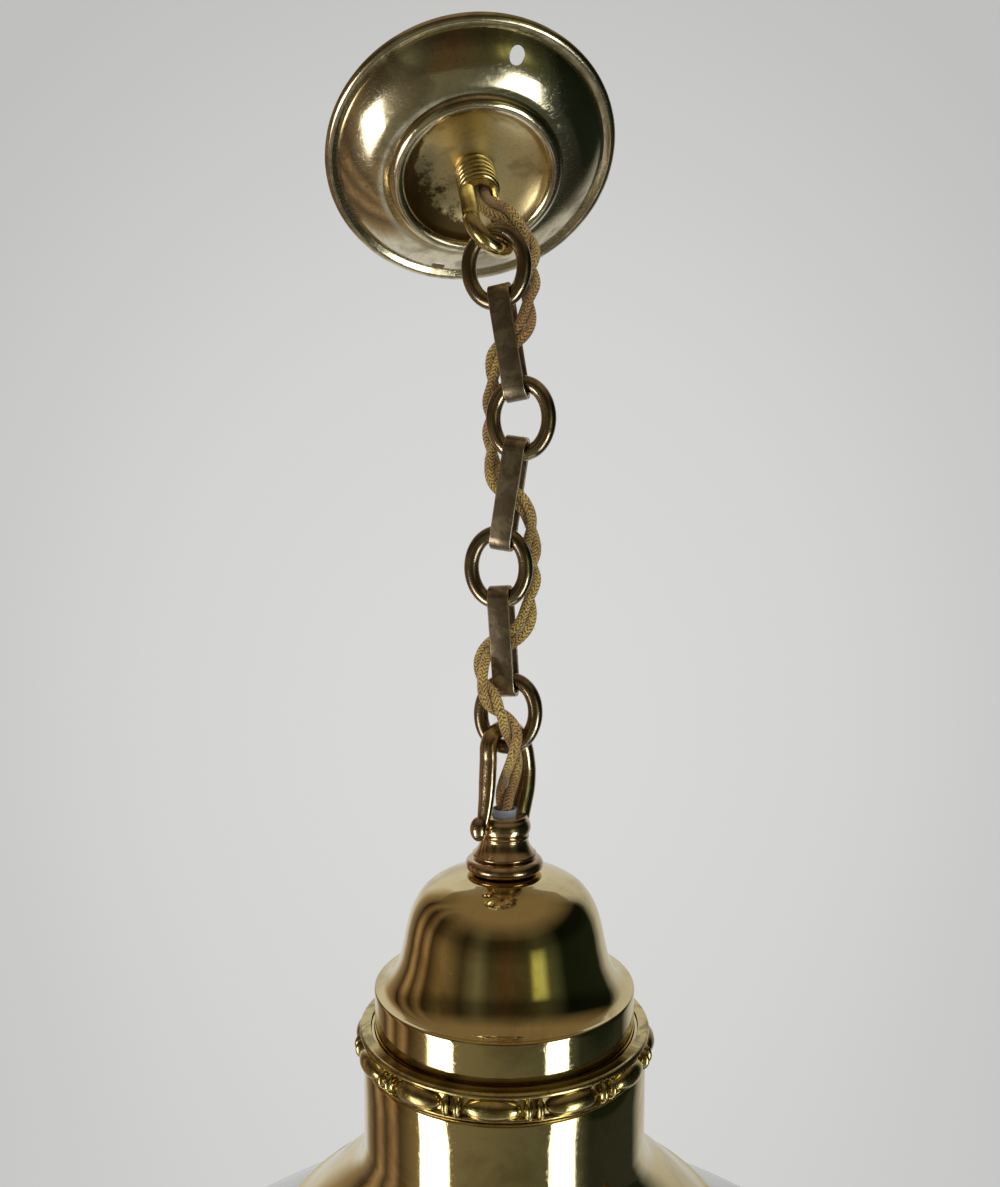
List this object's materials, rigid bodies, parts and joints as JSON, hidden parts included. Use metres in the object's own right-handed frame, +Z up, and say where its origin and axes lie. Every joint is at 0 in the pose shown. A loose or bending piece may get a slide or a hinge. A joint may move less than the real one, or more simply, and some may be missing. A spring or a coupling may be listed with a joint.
{
  "type": "pendant ceiling light",
  "caption": "Brass pendant light: domed ceiling rose with hook, ring-and-strap chain with twisted flex, bell gallery with bead-and-reel trim and a wide opaline glass shade.",
  "frame": {"origin": "centre of the ceiling rose's back rim, in the plane that meets the ceiling", "axes": "+Z is up along the plumb line of the lamp; -Y faces the viewer of the picture; +X is the viewer's right"},
  "size_m": [0.36, 0.36, 0.5347],
  "materials": {
    "bright_brass": "polished, lacquered",
    "aged_brass": "worn, pitted, tarnished in places",
    "chain_brass": "dark antique patina, rubbed edges",
    "copper_brass": "reddish cast brass, polished",
    "flex_cloth": "braided cotton",
    "sleeve_grey": "matt",
    "opaline_glass": "milk-white opaline, glossy",
    "bulb_glass": "pearl, satin",
    "bakelite": "dark brown, moulded",
    "porcelain": "glazed"
  },
  "bodies": {
    "rose": {"rose_cover": "aged_brass", "rose_hook": "aged_brass", "hook_washer": "bright_brass", "hook_nut": "bright_brass", "terminal_block": "porcelain", "terminal_screw_1": "bright_brass", "terminal_screw_2": "bright_brass", "flex_core_1": "flex_cloth", "flex_core_2": "flex_cloth"},
    "ring_1": {"ring_1": "chain_brass"},
    "strap_1": {"strap_1": "chain_brass"},
    "ring_2": {"ring_2": "chain_brass"},
    "strap_2": {"strap_2": "chain_brass"},
    "ring_3": {"ring_3": "chain_brass"},
    "strap_3": {"strap_3": "chain_brass"},
    "ring_4": {"ring_4": "chain_brass"},
    "lamp": {"carrier_hook": "copper_brass", "cord_sleeve": "sleeve_grey", "stem_tube": "bright_brass", "stem_washer": "bright_brass", "stem_nut": "bright_brass", "bell_cap": "bright_brass", "trim_ring": "bright_brass", "glass_shade": "opaline_glass", "screw_boss_1": "bright_brass", "screw_boss_2": "bright_brass", "screw_boss_3": "bright_brass", "skirt": "bright_brass", "holder_cap": "bright_brass", "holder_core": "bakelite", "holder_shell": "bright_brass", "holder_ring": "bakelite"},
    "bulb": {"bulb_cap": "bright_brass", "bulb_glass": "bulb_glass"},
    "plungers": {"plunger_1": "bright_brass", "plunger_2": "bright_brass"},
    "thumbscrew_1": {"thumbscrew_1": "bright_brass"},
    "thumbscrew_2": {"thumbscrew_2": "bright_brass"},
    "thumbscrew_3": {"thumbscrew_3": "bright_brass"}
  },
  "joints": [
    {"name": "ring_1_swing", "type": "hinge", "parent": "rose", "child": "ring_1", "pos_m": [0.00997, -0.03264, -0.03601], "axis": [0.9703, -0.2419, 0], "range_deg": [-15, 15], "deforming": ["flex_core_1", "flex_core_2"]},
    {"name": "strap_1_swing", "type": "hinge", "parent": "ring_1", "child": "strap_1", "pos_m": [0.00997, -0.03264, -0.06201], "axis": [0.9703, -0.2419, 0], "range_deg": [-15, 15], "deforming": ["flex_core_1", "flex_core_2"]},
    {"name": "ring_2_swing", "type": "hinge", "parent": "strap_1", "child": "ring_2", "pos_m": [0.019, -0.03489, -0.09121], "axis": [0.9703, -0.2419, 0], "range_deg": [-15, 15], "deforming": ["flex_core_1", "flex_core_2"]},
    {"name": "strap_2_swing", "type": "hinge", "parent": "ring_2", "child": "strap_2", "pos_m": [0.019, -0.03489, -0.11721], "axis": [0.9703, -0.2419, 0], "range_deg": [-15, 15], "deforming": ["flex_core_1", "flex_core_2"]},
    {"name": "ring_3_swing", "type": "hinge", "parent": "strap_2", "child": "ring_3", "pos_m": [0.01075, -0.03283, -0.14641], "axis": [0.9703, -0.2419, 0], "range_deg": [-15, 15], "deforming": ["flex_core_1", "flex_core_2"]},
    {"name": "strap_3_swing", "type": "hinge", "parent": "ring_3", "child": "strap_3", "pos_m": [0.01075, -0.03283, -0.17241], "axis": [0.9703, -0.2419, 0], "range_deg": [-15, 15], "deforming": ["flex_core_1", "flex_core_2"]},
    {"name": "ring_4_swing", "type": "hinge", "parent": "strap_3", "child": "ring_4", "pos_m": [0.01609, -0.03416, -0.20174], "axis": [0.9703, -0.2419, 0], "range_deg": [-15, 15], "deforming": ["flex_core_1", "flex_core_2"]},
    {"name": "lamp_swing", "type": "hinge", "parent": "ring_4", "child": "lamp", "pos_m": [0.01298, -0.03339, -0.22035], "axis": [0.7071, 0.7071, 0], "range_deg": [-12, 12], "deforming": ["flex_core_1", "flex_core_2"]},
    {"name": "bulb_push", "type": "slide", "parent": "lamp", "child": "bulb", "axis": [0, 0, 1], "range_m": [0, 0.0025], "stiffness_N_per_m": 900, "springref_m": -0.004},
    {"name": "plunger_push", "type": "slide", "parent": "lamp", "child": "plungers", "axis": [0, 0, 1], "range_m": [0, 0.0025]},
    {"name": "thumbscrew_1_turn_out", "type": "slide", "parent": "lamp", "child": "thumbscrew_1", "axis": [0, 1, 0], "range_m": [0, 0.004]},
    {"name": "thumbscrew_2_turn_out", "type": "slide", "parent": "lamp", "child": "thumbscrew_2", "axis": [-0.866, -0.5, 0], "range_m": [0, 0.004]},
    {"name": "thumbscrew_3_turn_out", "type": "slide", "parent": "lamp", "child": "thumbscrew_3", "axis": [0.866, -0.5, 0], "range_m": [0, 0.004]}
  ],
  "couplings": [
    {"joint": "plunger_push", "follows": "bulb_push", "ratio": 1}
  ]
}
